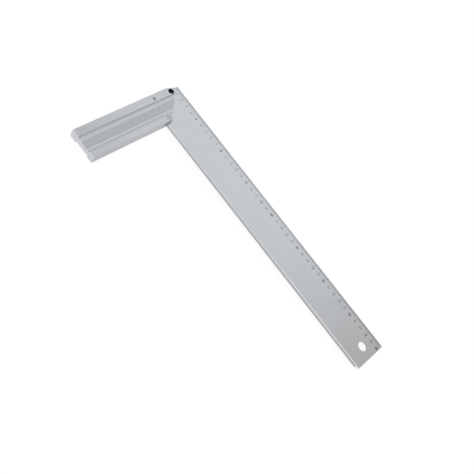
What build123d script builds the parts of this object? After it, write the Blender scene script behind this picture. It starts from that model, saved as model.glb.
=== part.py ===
from build123d import *
import os
from math import atan2, cos, degrees, hypot, radians, sin, sqrt

# Adjustable set square. A graduated blade sits in a slot in an aluminium stock and swings a little on a pivot
# pin beside the working corner. An eccentric behind it sets the angle to a true square, and a screw locks it.
# All sizes are in millimetres. The origin is the inner working corner at the level of the underside: X runs
# along the blade to its tip, Y across the blade to its outer edge, and Z up out of the graduated face.

# Stock
stock_length = 161.0  # free end to the level of the blade's outer edge
stock_width = 40.0
stock_thickness = 12.0
outer_rim_width = 10.4
inner_rim_width = 8.0
web_thickness = 6.8
rim_edge_radius = 0.5
recess_corner_radius = 0.6
rib_pitch = 1.5
rib_groove_count = 7
rib_groove_depth = 0.35
mitre_rise = 8.5  # working face past the blade's inner edge, before the mitre starts
mitre_angle = 45.0
nose_angle = 20.0  # nose cut against the outer face
nose_wall = 0.9  # metal between the nose cut and the lock screw's counterbore
nose_radius = 1.5
nose_heel_ease = 0.45  # flat that eases the bend where the nose cut leaves the outer face

# Blade
blade_length = 402.0  # a scale of 400, counted from the stock's outer face, and 4 beyond it
blade_width = 50.0
blade_thickness = 2.0
blade_setback = 2.0  # root edge, in from the stock's outer face
root_corner_radius = 0.3
tip_corner_radius = 0.6
tip_notch_length = 4.4  # step in the inner edge, at the very tip
tip_notch_depth = 2.2
bevel_width = 1.6  # light bevel along the inner edge of the graduated face
bevel_depth = 0.3
hang_hole_diameter = 11.6
hang_hole_from_tip = 15.8
hang_hole_from_inner_edge = 27.0

# Places of the three fasteners
pivot_height = 5.8  # above the blade's inner edge
screw_inset = 6.4  # eccentric and lock screw, in from the stock's outer face
lock_height = 33.4  # above the blade's inner edge

# Fits and clearances
running_clearance = 0.03  # radial
face_clearance = 0.05  # slot over each face of the blade
thrust_clearance = 0.03
cam_clearance = 0.06  # each side of the cam in its notch
screw_hole_clearance = 0.15  # radial
swing_margin = 0.3  # left between the blade and the slot's floor at the end of the swing
pocket_clearance = 0.05
flush_depth = 0.1  # heads lie this far under the face

# Pivot pin, riveted over a washer
pin_diameter = 4.0
pin_head_diameter = 5.2
pin_head_gap = 0.3  # open ring round the head
pin_head_height = 1.1
pin_dimple_diameter = 1.8
pin_dimple_depth = 0.3
pin_tail_diameter = 2.8
pin_rivet_diameter = 4.4
pin_rivet_height = 0.7
pivot_washer_diameter = 5.6
pivot_washer_thickness = 0.8
pivot_washer_gap = 0.2
bush_wall = 1.2

# Eccentric
cam_diameter = 4.0
cam_throw = 1.0
cam_turn = 45.0  # greatest turn each way
journal_diameter = 6.0
tail_diameter = 3.0
tail_end_depth = 0.5
clip_groove_diameter = 2.2
clip_diameter = 6.0
clip_thickness = 0.6
clip_mouth = 1.8
clip_relief_diameter = 1.0
spring_diameter = 6.0
spring_thickness = 0.3
spring_dish = 0.2
spring_pocket_gap = 0.5
key_size = 2.5  # across flats of both sockets
eccentric_socket_depth = 2.2

# Lock screw
screw_diameter = 4.0
screw_head_diameter = 7.2
screw_head_height = 2.2
screw_head_gap = 0.2
screw_head_chamfer = 0.25
screw_socket_depth = 1.4
lock_washer_diameter = 7.0
lock_washer_thickness = 0.5
nut_across_flats = 7.0
nut_thickness = 3.2
nut_chamfer = 0.4
screw_end_depth = 0.3
screw_end_chamfer = 0.4

# Worked out from the sizes above
mid_height = stock_thickness / 2
blade_bottom = mid_height - blade_thickness / 2
blade_top = mid_height + blade_thickness / 2
slot_bottom = blade_bottom - face_clearance
slot_top = blade_top + face_clearance
root_x = blade_setback - stock_width
tip_x = root_x + blade_length
free_end_y = blade_width - stock_length
head_y = mitre_rise + stock_width  # where the line of the mitre reaches the outer face
bar_length = head_y - free_end_y
pivot_x = -inner_rim_width / 2
screw_x = screw_inset - stock_width
cam_arm = pivot_x - screw_x
cam_turn_radians = radians(cam_turn)
cam_lift = cam_throw * sin(cam_turn_radians)
swing = atan2(cam_lift, cam_arm - cam_throw * cos(cam_turn_radians))
floor_gap = (pivot_x - root_x) * sin(swing) + swing_margin
lock_travel = hypot(pivot_x - screw_x, lock_height - pivot_height) * sin(swing)
bush_diameter = pin_diameter + 2 * (running_clearance + bush_wall)
counterbore_radius = screw_head_diameter / 2 + screw_head_gap
head_top = stock_thickness - flush_depth
spring_height = spring_thickness + spring_dish
clip_bottom = tail_end_depth + clip_thickness
spring_seat = clip_bottom + clip_thickness + spring_height
washer_seat = pin_rivet_height + pivot_washer_thickness + flush_depth
nut_seat = nut_thickness + flush_depth
far = 4 * stock_length  # longer than anything that a cutter has to pass


def disc(diameter, low, high, x=0.0, y=0.0):
    """Upright cylinder between two heights."""
    upright = Cylinder(diameter / 2, high - low, align=(Align.CENTER, Align.CENTER, Align.MIN))
    return Pos(x, y, low) * upright


def hexagon(across_flats, low, high):
    """Upright hexagonal prism with flats that face along X."""
    outline = RegularPolygon(across_flats / 2, 6, major_radius=False, rotation=30)
    return Pos(0, 0, low) * extrude(outline, high - low)


def block(x_low, x_high, y_low, y_high, z_low, z_high):
    """Box between its lowest and highest corners."""
    corner = (Align.MIN, Align.MIN, Align.MIN)
    return Pos(x_low, y_low, z_low) * Box(x_high - x_low, y_high - y_low, z_high - z_low, align=corner)


def half_plane(x, y, angle, offset=0.0):
    """Everything beyond a line at an offset from a point; the angle is that of its outward normal."""
    beyond = Pos(offset, 0) * Rectangle(far, far, align=(Align.MIN, Align.CENTER))
    return Pos(x, y) * Rot(0, 0, angle) * beyond


def stock_section():
    """Cross-section of the extrusion, X to the right and Z up."""
    outside = RectangleRounded(stock_width, stock_thickness, rim_edge_radius)
    section = Pos(-stock_width / 2, mid_height) * outside
    recess_width = stock_width - outer_rim_width - inner_rim_width
    recess_x = -inner_rim_width - recess_width / 2
    recess = RectangleRounded(recess_width, stock_thickness, recess_corner_radius)
    grooves = GridLocations(rib_pitch, 0, rib_groove_count, 1)
    groove = Rot(0, 0, 45) * Rectangle(rib_groove_depth * sqrt(2), rib_groove_depth * sqrt(2))
    for side in (1, -1):
        floor = mid_height + side * web_thickness / 2
        section -= Pos(recess_x, floor + side * stock_thickness / 2) * recess
        section -= [Pos(recess_x, floor) * place * groove for place in grooves]
    return section


def stock_plan():
    """Outline of the stock seen from above: square free end, mitred head with its sharp nose cut back."""
    plan = Pos(-stock_width, free_end_y) * Rectangle(stock_width, bar_length, align=(Align.MIN, Align.MIN))
    plan -= half_plane(0, mitre_rise, 90 - mitre_angle)
    plan -= half_plane(screw_x, lock_height, 180 - nose_angle, counterbore_radius + nose_wall)
    heel = plan.vertices().sort_by(Axis.Y)[-2]
    plan -= half_plane(heel.X, heel.Y, 180 - nose_angle / 2, -nose_heel_ease)
    return fillet(plan.vertices().sort_by(Axis.Y)[-1], nose_radius)


def make_stock():
    bar = extrude(Plane.XZ.offset(-head_y) * stock_section(), bar_length)
    stock = bar & extrude(stock_plan(), stock_thickness, both=True)
    # slot for the blade, open at the mitre and at the outer face, so that its cheeks can be clamped together
    stock -= block(-far, far, -floor_gap, far, slot_bottom, slot_top)
    # pivot pin: head in front, riveted washer behind
    pin_seat = head_top - pin_head_height
    stock -= disc(pin_diameter, 0, stock_thickness, pivot_x, pivot_height)
    pin_pocket = pin_head_diameter + 2 * pin_head_gap
    stock -= disc(pin_pocket, pin_seat, stock_thickness, pivot_x, pivot_height)
    washer_pocket = pivot_washer_diameter + 2 * pivot_washer_gap
    stock -= disc(washer_pocket, 0, washer_seat, pivot_x, pivot_height)
    # eccentric: wide journal in front, narrow journal and clip pocket behind
    journal_bore = journal_diameter + 2 * running_clearance
    stock -= disc(journal_bore, mid_height, stock_thickness, screw_x, pivot_height)
    tail_bore = tail_diameter + 2 * running_clearance
    stock -= disc(tail_bore, 0, mid_height, screw_x, pivot_height)
    clip_pocket = max(clip_diameter, spring_diameter) + 2 * spring_pocket_gap
    stock -= disc(clip_pocket, 0, spring_seat, screw_x, pivot_height)
    # lock screw: counterbore in front, nut pocket behind
    screw_hole = screw_diameter + 2 * screw_hole_clearance
    stock -= disc(screw_hole, 0, stock_thickness, screw_x, lock_height)
    head_seat = head_top - screw_head_height - lock_washer_thickness
    stock -= disc(2 * counterbore_radius, head_seat, stock_thickness, screw_x, lock_height)
    nut_pocket = hexagon(nut_across_flats + 2 * pocket_clearance, 0, nut_seat)
    stock -= Pos(screw_x, lock_height, 0) * nut_pocket
    return stock


def open_notch(x, y, width):
    """Round-ended notch, open at the blade's root edge."""
    run = x - root_x + width
    notch = Circle(width / 2) + Pos(-run / 2, 0) * Rectangle(run, width)
    return Pos(x, y) * notch


def make_blade():
    outline = Pos(root_x, 0) * Rectangle(blade_length, blade_width, align=(Align.MIN, Align.MIN))
    outline = fillet(outline.vertices().group_by(Axis.X)[0], root_corner_radius)
    outline -= Pos(tip_x, 0) * Rectangle(2 * tip_notch_length, 2 * tip_notch_depth)
    outline = fillet(outline.vertices().sort_by(Axis.X)[-4:], tip_corner_radius)
    outline -= Pos(tip_x - hang_hole_from_tip, hang_hole_from_inner_edge) * Circle(hang_hole_diameter / 2)
    outline -= Pos(pivot_x, pivot_height) * Circle(bush_diameter / 2)
    cam_notch_width = cam_diameter + 2 * cam_clearance
    outline -= open_notch(screw_x + cam_throw + swing_margin, pivot_height, cam_notch_width)
    lock_notch_width = screw_diameter + 2 * (lock_travel + screw_hole_clearance)
    outline -= open_notch(screw_x, lock_height, lock_notch_width)
    blade = Pos(0, 0, blade_bottom) * extrude(outline, blade_thickness)
    bevel = Polyline(
        (0, blade_top - bevel_depth),
        (bevel_width, blade_top),
        (bevel_width, blade_top + bevel_depth),
        (-bevel_width, blade_top + bevel_depth),
        (-bevel_width, blade_top - bevel_depth),
        close=True,
    )
    bevel_cutter = extrude(Plane.YZ.offset(root_x - bevel_width) * make_face(bevel), far)
    return blade - bevel_cutter


def make_pivot_pin():
    pin_seat = head_top - pin_head_height
    rivet_top = washer_seat - pivot_washer_thickness
    pin = disc(pin_diameter, washer_seat, head_top)
    head = disc(pin_head_diameter, pin_seat, head_top)
    pin += chamfer(head.edges().group_by(Axis.Z)[-1], pin_head_height / 4)
    pin += disc(pin_tail_diameter, flush_depth, washer_seat)
    rivet = disc(pin_rivet_diameter, flush_depth, rivet_top)
    pin += chamfer(rivet.edges().group_by(Axis.Z)[0], pin_rivet_height / 2)
    pin -= disc(pin_dimple_diameter, head_top - pin_dimple_depth, stock_thickness)
    return Pos(pivot_x, pivot_height, 0) * pin


def make_pivot_washer():
    low = washer_seat - pivot_washer_thickness
    washer = disc(pivot_washer_diameter, low, washer_seat) - disc(pin_tail_diameter, low, washer_seat)
    return Pos(pivot_x, pivot_height, 0) * washer


def make_pivot_bush():
    bore = pin_diameter + 2 * running_clearance
    bush = disc(bush_diameter, blade_bottom, blade_top) - disc(bore, blade_bottom, blade_top)
    return Pos(pivot_x, pivot_height, 0) * bush


def make_adjusting_eccentric():
    cam_bottom = slot_bottom + thrust_clearance
    journal_bottom = blade_top + thrust_clearance
    journal = disc(journal_diameter, journal_bottom, head_top)
    eccentric = chamfer(journal.edges().group_by(Axis.Z)[-1], flush_depth)
    eccentric += disc(cam_diameter, cam_bottom, journal_bottom, cam_throw)
    eccentric += disc(tail_diameter, tail_end_depth, cam_bottom)
    groove_top = clip_bottom + clip_thickness
    groove = disc(far, clip_bottom, groove_top) - disc(clip_groove_diameter, clip_bottom, groove_top)
    eccentric -= groove
    eccentric -= hexagon(key_size, head_top - eccentric_socket_depth, stock_thickness)
    return Pos(screw_x, pivot_height, 0) * eccentric


def make_eccentric_clip():
    """E-clip: a ring with an open mouth and a relief each side of the seat."""
    ring = Circle(clip_diameter / 2) - Circle(clip_groove_diameter / 2)
    ring -= Rectangle(clip_mouth, clip_diameter, align=(Align.CENTER, Align.MAX))
    for side in (1, -1):
        ring -= Pos(side * clip_groove_diameter / 2, 0) * Circle(clip_relief_diameter / 2)
    return Pos(screw_x, pivot_height, clip_bottom) * extrude(ring, clip_thickness)


def make_eccentric_spring():
    """Disc spring: a thin dished washer whose outer rim bears on the pocket and inner rim on the clip."""
    inner = tail_diameter / 2 + screw_hole_clearance
    outer = spring_diameter / 2
    low = clip_bottom + clip_thickness
    section = Polyline(
        (inner, low),
        (outer, low + spring_dish),
        (outer, low + spring_height),
        (inner, low + spring_thickness),
        close=True,
    )
    spring = revolve(Plane.XZ * make_face(section), Axis.Z)
    return Pos(screw_x, pivot_height, 0) * spring


def make_lock_screw():
    head_bottom = head_top - screw_head_height
    head = disc(screw_head_diameter, head_bottom, head_top)
    screw = chamfer(head.edges().group_by(Axis.Z)[-1], screw_head_chamfer)
    shank = disc(screw_diameter, screw_end_depth, head_bottom)
    screw += chamfer(shank.edges().group_by(Axis.Z)[0], screw_end_chamfer)
    screw -= hexagon(key_size, head_top - screw_socket_depth, stock_thickness)
    return Pos(screw_x, lock_height, 0) * screw


def make_lock_washer():
    high = head_top - screw_head_height
    low = high - lock_washer_thickness
    washer = disc(lock_washer_diameter, low, high)
    washer -= disc(screw_diameter + 2 * screw_hole_clearance, low, high)
    return Pos(screw_x, lock_height, 0) * washer


def make_lock_nut():
    """Hexagon nut with its rear corners turned off; the bore is plain, at the thread's outer diameter."""
    nut = hexagon(nut_across_flats, flush_depth, nut_seat)
    corner_radius = nut_across_flats / sqrt(3)
    turned = chamfer(disc(2 * corner_radius, flush_depth, nut_seat).edges().group_by(Axis.Z)[0], nut_chamfer)
    nut = nut & turned
    nut -= disc(screw_diameter + 2 * running_clearance, flush_depth, nut_seat)
    return Pos(screw_x, lock_height, 0) * nut


sub_parts = {
    "stock": make_stock,
    "blade": make_blade,
    "pivot_pin": make_pivot_pin,
    "pivot_washer": make_pivot_washer,
    "pivot_bush": make_pivot_bush,
    "adjusting_eccentric": make_adjusting_eccentric,
    "eccentric_clip": make_eccentric_clip,
    "eccentric_spring": make_eccentric_spring,
    "lock_screw": make_lock_screw,
    "lock_washer": make_lock_washer,
    "lock_nut": make_lock_nut,
}

os.makedirs("parts", exist_ok=True)
for name, make in sub_parts.items():
    export_step(make(), f"parts/{name}.step")
print(f"blade swing {degrees(swing):.3f} degrees each way for {cam_turn} degrees of the eccentric")
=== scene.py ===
from math import radians

import bpy
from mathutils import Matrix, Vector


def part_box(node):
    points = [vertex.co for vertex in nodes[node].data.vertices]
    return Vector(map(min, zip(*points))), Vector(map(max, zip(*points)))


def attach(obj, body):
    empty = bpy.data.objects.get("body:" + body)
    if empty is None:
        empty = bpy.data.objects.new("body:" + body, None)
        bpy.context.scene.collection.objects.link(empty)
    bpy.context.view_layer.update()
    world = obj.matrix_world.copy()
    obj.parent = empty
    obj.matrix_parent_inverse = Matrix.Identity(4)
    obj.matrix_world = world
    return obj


# Looks of the adjustable set square: the finish of every part, and the scale printed along the blade's outer
# edge. All sizes are in metres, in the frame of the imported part: X along the blade to its tip, Y across it to
# the graduated edge, Z up out of the graduated face.

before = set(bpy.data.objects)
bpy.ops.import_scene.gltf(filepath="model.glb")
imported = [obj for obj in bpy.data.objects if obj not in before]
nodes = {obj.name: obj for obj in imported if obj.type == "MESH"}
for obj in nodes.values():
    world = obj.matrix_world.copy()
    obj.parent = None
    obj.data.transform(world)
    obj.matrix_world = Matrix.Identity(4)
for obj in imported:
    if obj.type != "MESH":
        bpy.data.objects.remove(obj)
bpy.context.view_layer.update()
mm = 0.001
half_centimetre = 5 * mm
centimetre = 10 * mm
far = 1.0  # well past the part, whichever way
everywhere = (-far, far)

# Scale on the blade
scale_zero_x = -39.3 * mm  # about level with the stock's outer face
scale_edge_y = 49.55 * mm  # outer end of every line
short_line = 2.9 * mm  # millimetres
middle_line = 4.2 * mm  # five millimetres
long_line = 5.3 * mm  # centimetres
line_width = 0.32 * mm
last_centimetre = 40
number_y = 41.2 * mm  # middle of the numbers' height
number_size = 4.2 * mm
number_curve_steps = 3
fifth_number_size = 4.5 * mm  # 5, 10, 15 and so on
fifth_number_stroke = 0.11 * mm  # added round their strokes
ink_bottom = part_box("blade")[1].z - 0.004 * mm
ink_height = 0.018 * mm
weld_gap = 0.0005 * mm  # corners nearer than this become one

# Colours
aluminium = (0.552, 0.563, 0.581)
steel = (0.366, 0.370, 0.376)
black_ink = (0.028, 0.029, 0.032)
black_oxide = (0.014, 0.014, 0.015)

# Places on the stock, along X and along Y
free_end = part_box("stock")[0].y
head_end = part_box("stock")[1].y
outside_end = free_end - 1 * mm
recess_x = (-29.6 * mm, -8.1 * mm)
ribs_x = (-24.5 * mm, -13.8 * mm)
shaded_corner_x = (-10.7 * mm, -8.3 * mm)  # floor of the recess beside the inner rim, where shade is painted
outer_rim_x = (-far, -30 * mm)
inner_rim_x = (-7.5 * mm, far)
working_face_x = (-0.2 * mm, far)
whole_stock_y = (free_end, head_end)
behind_end_y = (free_end + 0.6 * mm, head_end)  # all but the sawn end
# towards the head, where the rims get painted light
lit_head_side_y = (-40 * mm, head_end)
# the sawn end, with a painted highlight on the edges beside it
sawn_end_and_highlight_y = (outside_end, free_end + 0.2 * mm)
sawn_marks_y = (outside_end, free_end + 0.05 * mm)

# Places on the blade
blade_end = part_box("blade")[1].x
whole_blade_x = (-far, blade_end)
towards_tip_x = (310 * mm, blade_end)
bevel_y = (-1 * mm, 1.6 * mm)
# line of painted highlight beside the bevel
highlight_line_y = (2.1 * mm, 2.9 * mm)
outer_edge_y = (49.4 * mm, 51 * mm)

# How far the border of a place fades along X, Y and Z
cut_border = (0.1 * mm, 0.1 * mm, 0.1 * mm)
sawn_border = (0.2 * mm, 0.2 * mm, 0.2 * mm)
sharp_border = (0.3 * mm, 0.3 * mm, 0.3 * mm)
narrow_border = (0.4 * mm, 0.4 * mm, 0.4 * mm)
long_border_y = (0.4 * mm, 68 * mm, 0.4 * mm)
long_border_x = (140 * mm, 0.3 * mm, 0.3 * mm)

# Waves of the noise in a metre along X, Y and Z: few along a drawn line and many across it
stock_lines = (900, 5, 900)
stock_fine_lines = (4200, 14, 4200)
blade_lines = (5, 1300, 1300)
blade_fine_lines = (14, 5200, 5200)
saw_marks = (2600, 1, 90)
grit_waves = 9000.0

# Relief and wear of the metal
bevel_samples = 6
flat_facing = 0.995  # how alike the plain and the softened normal are on a flat
edge_facing = 0.75  # and right on an edge
drawn_relief = 0.12
sawn_relief = 0.7
turned_relief = 0.15
relief_depth = 0.02 * mm
cloud_tone = 0.86
rubbed_tone = 1.35
streak = 0.07  # how much rougher or smoother a drawn line is
polish = 0.12  # how much smoother a rubbed edge is

# Ink, rubbed thin near the stock
ink_relief = 0.1
ink_relief_depth = 0.01 * mm
rubbed_ink_x = (-far, 110 * mm)
rubbed_ink_border = (140 * mm, far, far)
metal_through_ink = 0.25

# Floor, air and camera
floor_size = 12
floor_drop = 0.05 * mm  # under the part, so that no two faces coincide
floor_grey = (0.8, 0.8, 0.8, 1)  # for the light it throws back
seen_floor_grey = (0.2, 0.2, 0.2, 1)  # for how it looks: a shade over an even glow
seen_floor_glow = 0.88
white = (1, 1, 1, 1)
air_light = 0.55
seen_air_light = 1.0
camera_place = (0.253350, -0.531289, 0.697705)
camera_turn = (28.48989, -24.64581, 47.87323)  # degrees about X, Y and Z
camera_lens = 56.9126  # millimetres, as is the sensor
camera_sensor = 36
camera_near = 10 * mm  # nothing nearer than this is drawn


# Finishes

def add_node(tree, kind, **values):
    """A node with its properties and its inputs set; a value that is a socket is linked to the input."""
    node = tree.nodes.new(kind)
    for name, value in values.items():
        if hasattr(node, name):
            setattr(node, name, value)
            continue
        socket = node.inputs[int(name[1:])] if name[1:].isdigit() else node.inputs[name.replace("_", " ")]
        if isinstance(value, bpy.types.NodeSocket):
            tree.links.new(value, socket)
        else:
            socket.default_value = value
    return node


def calculated(tree, operation, first, second):
    """Sum, difference, product or larger one of two values."""
    return add_node(tree, "ShaderNodeMath", operation=operation, _0=first, _1=second).outputs[0]


def vector_step(tree, operation, first, **others):
    """Vector worked out from another."""
    return add_node(tree, "ShaderNodeVectorMath", operation=operation, _0=first, **others).outputs[0]


def vector_length(tree, vector):
    """Length of a vector."""
    return add_node(tree, "ShaderNodeVectorMath", operation="LENGTH", _0=vector).outputs["Value"]


def new_finish(name, colour, metallic, roughness):
    """A material whose steady values sit on its shader."""
    finish = bpy.data.materials.new(name)
    finish.use_nodes = True
    finish.diffuse_color = (*colour, 1)
    shader = finish.node_tree.nodes["Principled BSDF"]
    shader.inputs["Base Color"].default_value = (*colour, 1)
    shader.inputs["Metallic"].default_value = metallic
    shader.inputs["Roughness"].default_value = roughness
    return finish, finish.node_tree, shader


def placed(tree, scale=(1, 1, 1), centre=(0, 0, 0)):
    """Coordinates on the part, measured from a centre and stretched."""
    here = add_node(tree, "ShaderNodeTexCoord").outputs["Object"]
    moved = vector_step(tree, "SUBTRACT", here, _1=centre)
    return add_node(tree, "ShaderNodeMapping", Vector=moved, Scale=scale).outputs["Vector"]


def grain(tree, where, size=1.0, detail=2.0, rough=0.5):
    """Noise between 0 and 1, most of it near the middle."""
    noise = add_node(tree, "ShaderNodeTexNoise", Vector=where, Scale=size, Detail=detail, Roughness=rough)
    return noise.outputs["Fac"]


def spread(tree, value, low, high, to_low=0.0, to_high=1.0):
    """A value stretched from one range to another and held inside it."""
    ranged = add_node(tree, "ShaderNodeMapRange", _0=value, _1=low, _2=high, _3=to_low, _4=to_high)
    return ranged.outputs[0]


def blend_colours(tree, share, first, second):
    """A mix of two colours."""
    mix = add_node(tree, "ShaderNodeMix", data_type="RGBA")
    for socket, value in zip((mix.inputs[0], mix.inputs[6], mix.inputs[7]), (share, first, second)):
        if isinstance(value, bpy.types.NodeSocket):
            tree.links.new(value, socket)
        elif isinstance(value, tuple):
            socket.default_value = (*value, 1)
        else:
            socket.default_value = value
    return mix.outputs[2]


def between(tree, share, first, second):
    """A value part of the way from one to another."""
    return add_node(tree, "ShaderNodeMix", data_type="FLOAT", _0=share, _2=first, _3=second).outputs[0]


def tone(colour, by):
    """A colour made darker or lighter."""
    return tuple(min(1.0, channel * by) for channel in colour)


def add_relief(tree, shader, strength, depth, height, softened=None):
    """Relief that a height draws on the surface, over softened edges where these are given."""
    bump = add_node(tree, "ShaderNodeBump", Strength=strength, Distance=depth, Height=height)
    if softened is not None:
        tree.links.new(softened, bump.inputs["Normal"])
    tree.links.new(bump.outputs[0], shader.inputs["Normal"])


def worn_edges(tree, radius):
    """How near a point is to an edge, 1 on the edge and 0 on a flat, and the softened normal there."""
    soft = add_node(tree, "ShaderNodeBevel", samples=bevel_samples, Radius=radius).outputs[0]
    plain = add_node(tree, "ShaderNodeNewGeometry").outputs["Normal"]
    facing = add_node(tree, "ShaderNodeVectorMath", operation="DOT_PRODUCT", _0=soft, _1=plain)
    return spread(tree, facing.outputs["Value"], flat_facing, edge_facing), soft


def through(along_x, along_y):
    """Two corners of a box that goes right through the part."""
    return (along_x[0], along_y[0], -far), (along_x[1], along_y[1], far)


def patch(tree, box, border):
    """1 inside a box on the part, fading to 0 across a border that has its own width each way."""
    low, high = box
    centre = tuple((near + far_side) / 2 for near, far_side in zip(low, high))
    half = tuple((far_side - near) / 2 for near, far_side in zip(low, high))
    away = vector_step(tree, "ABSOLUTE", placed(tree, centre=centre))
    beyond = vector_step(tree, "SUBTRACT", away, _1=half)
    outside = vector_step(tree, "MAXIMUM", beyond, _1=(0, 0, 0))
    shares = vector_step(tree, "DIVIDE", outside, _1=border)
    return spread(tree, vector_length(tree, shares), 0.0, 1.0, 1.0, 0.0)


def lightened(tree, colour, patches):
    """A colour made lighter or darker in each patch."""
    for box, border, lighter in patches:
        factor = spread(tree, patch(tree, box, border), 0.0, 1.0, 1.0, lighter)
        colour = vector_step(tree, "SCALE", colour, Scale=factor)
    return colour


def drawn_lines(tree, lines, fine_lines, sawn_box):
    """Broad lines, fine lines and the strength of their relief, with saw marks instead in the sawn box."""
    broad = grain(tree, placed(tree, lines), detail=3.0, rough=0.6)
    narrow = grain(tree, placed(tree, fine_lines), detail=2.0, rough=0.7)
    if sawn_box is None:
        return broad, narrow, drawn_relief
    cut = patch(tree, sawn_box, cut_border)
    broad_marks = grain(tree, placed(tree, saw_marks), size=0.3, detail=3.0, rough=0.7)
    fine_marks = grain(tree, placed(tree, saw_marks), detail=2.0, rough=0.7)
    relief = spread(tree, cut, 0.0, 1.0, drawn_relief, sawn_relief)
    return between(tree, cut, broad, broad_marks), between(tree, cut, narrow, fine_marks), relief


def drawn_metal(
        name, colour, metallic, roughness, lines, fine_lines, edge, mottle, dark, patches, sawn_box=None):
    """Metal with lines drawn along its length, a fine matt grain, a faint mottle and edges rubbed bright.

    The edges are rubbed as far in as edge says, mottle is the share of the darker clouds, and dark is the
    tone of the darkest line. Each patch is a box, its border and how much lighter the metal is in it.
    """
    finish, tree, shader = new_finish(name, colour, metallic, roughness)
    broad, narrow, relief = drawn_lines(tree, lines, fine_lines, sawn_box)
    clouds = grain(tree, placed(tree), size=22.0, detail=3.0, rough=0.55)
    grit = grain(tree, placed(tree), size=grit_waves, detail=1.0)
    rubbed, soft = worn_edges(tree, edge)
    worn = calculated(tree, "MULTIPLY", rubbed, spread(tree, clouds, 0.3, 0.6, 0.25, 0.8))
    drawn = blend_colours(tree, spread(tree, broad, 0.3, 0.7), tone(colour, dark), tone(colour, 2 - dark))
    cloudy = spread(tree, clouds, 0.35, 0.7, 0.0, mottle)
    mottled = blend_colours(tree, cloudy, drawn, tone(colour, cloud_tone))
    bright = blend_colours(tree, worn, mottled, tone(colour, rubbed_tone))
    tree.links.new(lightened(tree, bright, patches), shader.inputs["Base Color"])
    streaked = spread(tree, narrow, 0.25, 0.75, roughness - streak, roughness + streak)
    polished = calculated(tree, "SUBTRACT", streaked, calculated(tree, "MULTIPLY", worn, polish))
    tree.links.new(polished, shader.inputs["Roughness"])
    height = calculated(tree, "ADD", narrow, calculated(tree, "MULTIPLY", grit, 0.5))
    add_relief(tree, shader, relief, relief_depth, height, soft)
    return finish


def turned_metal(name, colour, roughness, centre, ring_pitch, edge, dark=0.88):
    """Metal turned on a lathe: fine rings round its own axis, a slight cloudiness and bright edges."""
    finish, tree, shader = new_finish(name, colour, 1.0, roughness)
    from_axis = vector_length(tree, placed(tree, (1, 1, 0), centre))
    along_axis = add_node(tree, "ShaderNodeSeparateXYZ", Vector=placed(tree)).outputs["Z"]
    place = calculated(tree, "ADD", from_axis, along_axis)
    waves = 1 / ring_pitch
    noise = add_node(tree, "ShaderNodeTexNoise", noise_dimensions="1D", W=place, Scale=waves, Detail=3.0)
    rings = noise.outputs["Fac"]
    clouds = grain(tree, placed(tree), size=500.0, detail=3.0)
    rubbed, soft = worn_edges(tree, edge)
    cut = blend_colours(tree, spread(tree, rings, 0.3, 0.7), tone(colour, dark), tone(colour, 2 - dark))
    cloudy = blend_colours(tree, spread(tree, clouds, 0.4, 0.7, 0.0, 0.3), cut, tone(colour, 0.75))
    bright = blend_colours(tree, spread(tree, rubbed, 0.0, 1.0, 0.0, 0.6), cloudy, tone(colour, 1.5))
    tree.links.new(bright, shader.inputs["Base Color"])
    uneven = spread(tree, rings, 0.25, 0.75, roughness - 0.06, roughness + 0.1)
    tree.links.new(uneven, shader.inputs["Roughness"])
    add_relief(tree, shader, turned_relief, relief_depth, rings, soft)
    return finish


def printing_ink(name, colour, metal_below):
    """Dull ink, a little uneven in its cover, with the metal showing through near the stock."""
    finish, tree, shader = new_finish(name, colour, 0.0, 0.55)
    blotches = grain(tree, placed(tree), size=1800.0, detail=3.0, rough=0.6)
    thin = grain(tree, placed(tree), size=90.0, detail=2.0)
    cover = blend_colours(tree, spread(tree, blotches, 0.35, 0.75), colour, tone(colour, 2.2))
    faded = blend_colours(tree, spread(tree, thin, 0.45, 0.75, 0.0, 0.35), cover, tone(colour, 4.0))
    held = patch(tree, through(rubbed_ink_x, everywhere), rubbed_ink_border)
    share = spread(tree, held, 0.0, 1.0, 0.0, metal_through_ink)
    tree.links.new(blend_colours(tree, share, faded, metal_below), shader.inputs["Base Color"])
    tree.links.new(spread(tree, blotches, 0.3, 0.7, 0.45, 0.7), shader.inputs["Roughness"])
    add_relief(tree, shader, ink_relief, ink_relief_depth, blotches)
    return finish


def middle_of(node):
    """Middle of a part's box."""
    low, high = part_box(node)
    return tuple((low + high) / 2)


def finish_part(node, finish):
    """A part's own material, put in place of the one it came with."""
    for material_slot in nodes[node].material_slots:
        material_slot.material = finish


stock_patches = (
    # box, border, how much lighter
    (through(recess_x, whole_stock_y), narrow_border, 1.04),  # recess, a little lighter all over
    (through(ribs_x, behind_end_y), narrow_border, 0.9),  # ribs, painted shade between their crests
    (through(shaded_corner_x, behind_end_y), narrow_border, 0.82),  # painted shade in the corner by the inner rim
    (through(working_face_x, whole_stock_y), sharp_border, 1.05),  # working face, rubbed by use
    (through(outer_rim_x, behind_end_y), narrow_border, 0.87),  # outer rim, darker all along as painted shade
    (through(outer_rim_x, lit_head_side_y), long_border_y, 1.15),  # and lighter towards the head as painted light
    (through(inner_rim_x, behind_end_y), narrow_border, 0.945),  # inner rim, darker all along as painted shade
    (through(inner_rim_x, lit_head_side_y), long_border_y, 1.06),  # and lighter towards the head as painted light
    (through(everywhere, sawn_end_and_highlight_y), sawn_border, 1.37),  # sawn end, lighter as bare metal and as a painted highlight
)
blade_patches = (
    (through(whole_blade_x, bevel_y), sharp_border, 1.14),  # ground bevel
    (through(whole_blade_x, highlight_line_y), narrow_border, 1.13),  # painted highlight line beside the bevel
    (through(towards_tip_x, highlight_line_y), long_border_x, 1.55),  # and brighter towards the tip, painted highlight
    (through(whole_blade_x, outer_edge_y), sharp_border, 1.3),  # ground outer edge
)
sawn_end = through(everywhere, sawn_marks_y)
finish_part("stock", drawn_metal(
    "anodised_aluminium", aluminium, metallic=0.5, roughness=0.5,
    lines=stock_lines, fine_lines=stock_fine_lines, edge=0.35 * mm,
    mottle=0.2, dark=0.95, patches=stock_patches, sawn_box=sawn_end))
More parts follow.
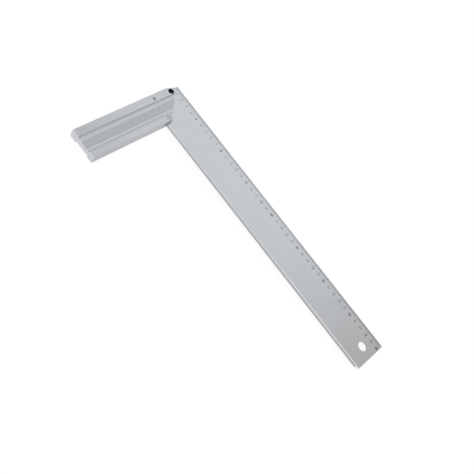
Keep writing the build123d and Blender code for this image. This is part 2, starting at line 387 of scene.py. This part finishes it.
finish_part("blade", drawn_metal(
    "satin_steel", steel, metallic=1.0, roughness=0.32,
    lines=blade_lines, fine_lines=blade_fine_lines, edge=0.15 * mm,
    mottle=0.16, dark=0.96, patches=blade_patches))
for part, colour, roughness, ring_pitch in (
    ("pivot_pin", (0.42, 0.43, 0.44), 0.46, 0.12 * mm),
    ("pivot_washer", (0.50, 0.51, 0.53), 0.34, 0.15 * mm),
    ("adjusting_eccentric", (0.40, 0.405, 0.42), 0.46, 0.12 * mm),
    ("pivot_bush", (0.62, 0.42, 0.20), 0.35, 0.12 * mm),
    ("eccentric_clip", (0.22, 0.22, 0.23), 0.38, 0.2 * mm),
    ("eccentric_spring", (0.22, 0.22, 0.23), 0.38, 0.2 * mm),
    ("lock_washer", (0.30, 0.30, 0.31), 0.36, 0.2 * mm),
    ("lock_nut", (0.60, 0.61, 0.64), 0.28, 0.2 * mm),
):
    finish_part(part, turned_metal(
        f"finish_{part}", colour, roughness, middle_of(part), ring_pitch, edge=0.08 * mm))
finish_part("lock_screw", turned_metal(
    "black_oxide", black_oxide, roughness=0.5, centre=middle_of("lock_screw"), ring_pitch=0.15 * mm,
    edge=0.1 * mm, dark=0.8))


# Scale

def line_row(name, first_x, length, repeats):
    """Ink line across the edge, extruded from a flat patch and repeated along the blade.

    Each repeat is how many there are and how far apart they stand.
    """
    bpy.ops.object.select_all(action="DESELECT")
    bpy.ops.mesh.primitive_plane_add(size=1, location=(first_x, scale_edge_y - length / 2, ink_bottom))
    line = bpy.context.object
    line.name = name
    line.scale = (line_width, length, 1)
    bpy.ops.object.transform_apply(location=True, rotation=True, scale=True)
    bpy.ops.object.mode_set(mode="EDIT")
    bpy.ops.mesh.select_all(action="SELECT")
    bpy.ops.mesh.extrude_region_move(TRANSFORM_OT_translate={"value": (0, 0, ink_height)})
    bpy.ops.mesh.select_all(action="SELECT")
    bpy.ops.mesh.normals_make_consistent(inside=False)
    bpy.ops.object.mode_set(mode="OBJECT")
    for count, pitch in repeats:
        repeat = line.modifiers.new("repeat", "ARRAY")
        repeat.use_relative_offset = False
        repeat.use_constant_offset = True
        repeat.constant_offset_displace = (pitch, 0, 0)
        repeat.count = count
        bpy.ops.object.modifier_apply(modifier=repeat.name)
    return line


def printed_number(value):
    """Number in the typeface's own outline, a film of ink centred on its line and made a mesh."""
    is_fifth = value % 5 == 0
    bpy.ops.object.select_all(action="DESELECT")
    place = (scale_zero_x + value * centimetre, number_y, ink_bottom + ink_height / 2)
    bpy.ops.object.text_add(location=place)
    number = bpy.context.object
    number.name = f"number_{value}"
    number.data.body = str(value)
    number.data.size = fifth_number_size if is_fifth else number_size
    number.data.align_x = "CENTER"
    number.data.align_y = "CENTER"
    number.data.extrude = ink_height / 2
    number.data.resolution_u = number_curve_steps
    number.data.offset = fifth_number_stroke if is_fifth else 0.0
    bpy.ops.object.convert(target="MESH")
    number = bpy.context.object
    bpy.ops.object.origin_set(type="ORIGIN_GEOMETRY", center="BOUNDS")
    number.location.x = place[0]
    bpy.ops.object.transform_apply(location=True, rotation=True, scale=True)
    return number


def joined(name, objects):
    """Objects made one mesh, with doubled corners welded and all faces turned outwards."""
    bpy.ops.object.select_all(action="DESELECT")
    for piece in objects:
        piece.select_set(True)
    bpy.context.view_layer.objects.active = objects[0]
    bpy.ops.object.join()
    whole = bpy.context.object
    whole.name = name
    whole.data.name = name
    bpy.ops.object.mode_set(mode="EDIT")
    bpy.ops.mesh.select_all(action="SELECT")
    bpy.ops.mesh.remove_doubles(threshold=weld_gap)
    bpy.ops.mesh.normals_make_consistent(inside=False)
    bpy.ops.object.mode_set(mode="OBJECT")
    return whole


ink = printing_ink("scale_ink", black_ink, steel)
first_five = scale_zero_x + half_centimetre
groups_of_four = 2 * last_centimetre - 1  # millimetre lines between the longer ones
lines = [
    line_row("lines_at_root", scale_zero_x + 2 * mm, short_line, ((3, mm),)),
    line_row("millimetre_lines", first_five + mm, short_line, ((4, mm), (groups_of_four, half_centimetre))),
    line_row("five_millimetre_lines", first_five, middle_line, ((last_centimetre, centimetre),)),
    line_row("centimetre_lines", first_five + half_centimetre, long_line, ((last_centimetre, centimetre),)),
]
scale_lines = joined("scale_lines", lines)
scale_numbers = joined("scale_numbers", [printed_number(value) for value in range(1, last_centimetre + 1)])
for printed in (scale_lines, scale_numbers):
    printed.data.materials.clear()
    printed.data.materials.append(ink)
    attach(printed, "blade")


# Floor, light and camera

def seen_directly(tree):
    """1 for what the camera sees, straight or in a reflection, and 0 for the rest of the light."""
    path = add_node(tree, "ShaderNodeLightPath")
    straight_or_mirrored = calculated(
        tree, "MAXIMUM", path.outputs["Is Camera Ray"], path.outputs["Is Glossy Ray"])
    return calculated(tree, "MAXIMUM", straight_or_mirrored, path.outputs["Is Transmission Ray"])


def pale_floor():
    """Pale floor that looks nearly white and still shows the part's shadow."""
    bpy.ops.object.select_all(action="DESELECT")
    bpy.ops.mesh.primitive_plane_add(size=floor_size, location=(0, 0, -floor_drop))
    floor = bpy.context.object
    floor.name = "floor"
    paper = bpy.data.materials.new("white_paper")
    paper.use_nodes = True
    tree = paper.node_tree
    tree.nodes.remove(tree.nodes["Principled BSDF"])
    plain = add_node(tree, "ShaderNodeBsdfDiffuse", Color=floor_grey)
    shaded = add_node(tree, "ShaderNodeBsdfDiffuse", Color=seen_floor_grey)
    glow = add_node(tree, "ShaderNodeEmission", Color=white, Strength=seen_floor_glow)
    lit = add_node(tree, "ShaderNodeAddShader", _0=shaded.outputs[0], _1=glow.outputs[0])
    seen = seen_directly(tree)
    both = add_node(tree, "ShaderNodeMixShader", _0=seen, _1=plain.outputs[0], _2=lit.outputs[0])
    tree.links.new(both.outputs[0], tree.nodes["Material Output"].inputs["Surface"])
    paper.cycles.emission_sampling = "NONE"
    floor.data.materials.append(paper)


def studio_air():
    """White surroundings, dimmer for the light they give than for how they look."""
    air = bpy.data.worlds.new("studio_air")
    bpy.context.scene.world = air
    air.use_nodes = True
    tree = air.node_tree
    level = spread(tree, seen_directly(tree), 0.0, 1.0, air_light, seen_air_light)
    background = tree.nodes["Background"]
    background.inputs["Color"].default_value = white
    tree.links.new(level, background.inputs["Strength"])
    air.cycles.sampling_method = "NONE"


def soft_lamp(name, place, aim, size, power, colour=(1, 1, 1)):
    """Rectangular lamp that shines from its place to its aim."""
    bpy.ops.object.light_add(type="AREA", location=place)
    lamp = bpy.context.object
    lamp.name = name
    lamp.data.shape = "RECTANGLE"
    lamp.data.size, lamp.data.size_y = size
    lamp.data.energy = power
    lamp.data.color = colour
    away = lamp.location - Vector(aim)
    lamp.rotation_euler = away.to_track_quat("Z", "Y").to_euler()


pale_floor()
studio_air()
soft_lamp(
    "window_lamp", place=(-0.34, 1.06, 1.28), aim=(0.05, 0.0, 0.0), size=(1.55, 0.7), power=3.15,
    colour=(0.88, 0.94, 1.0))
soft_lamp("fill_lamp", place=(1.25, -0.35, 1.05), aim=(0.10, 0.0, 0.0), size=(0.7, 0.7), power=1.8)

bpy.ops.object.camera_add(location=camera_place)
camera = bpy.context.object
camera.name = "camera"
camera.rotation_euler = [radians(angle) for angle in camera_turn]
camera.data.lens = camera_lens
camera.data.sensor_width = camera_sensor
camera.data.clip_start = camera_near
bpy.context.scene.camera = camera
bpy.context.scene.view_settings.view_transform = "Standard"
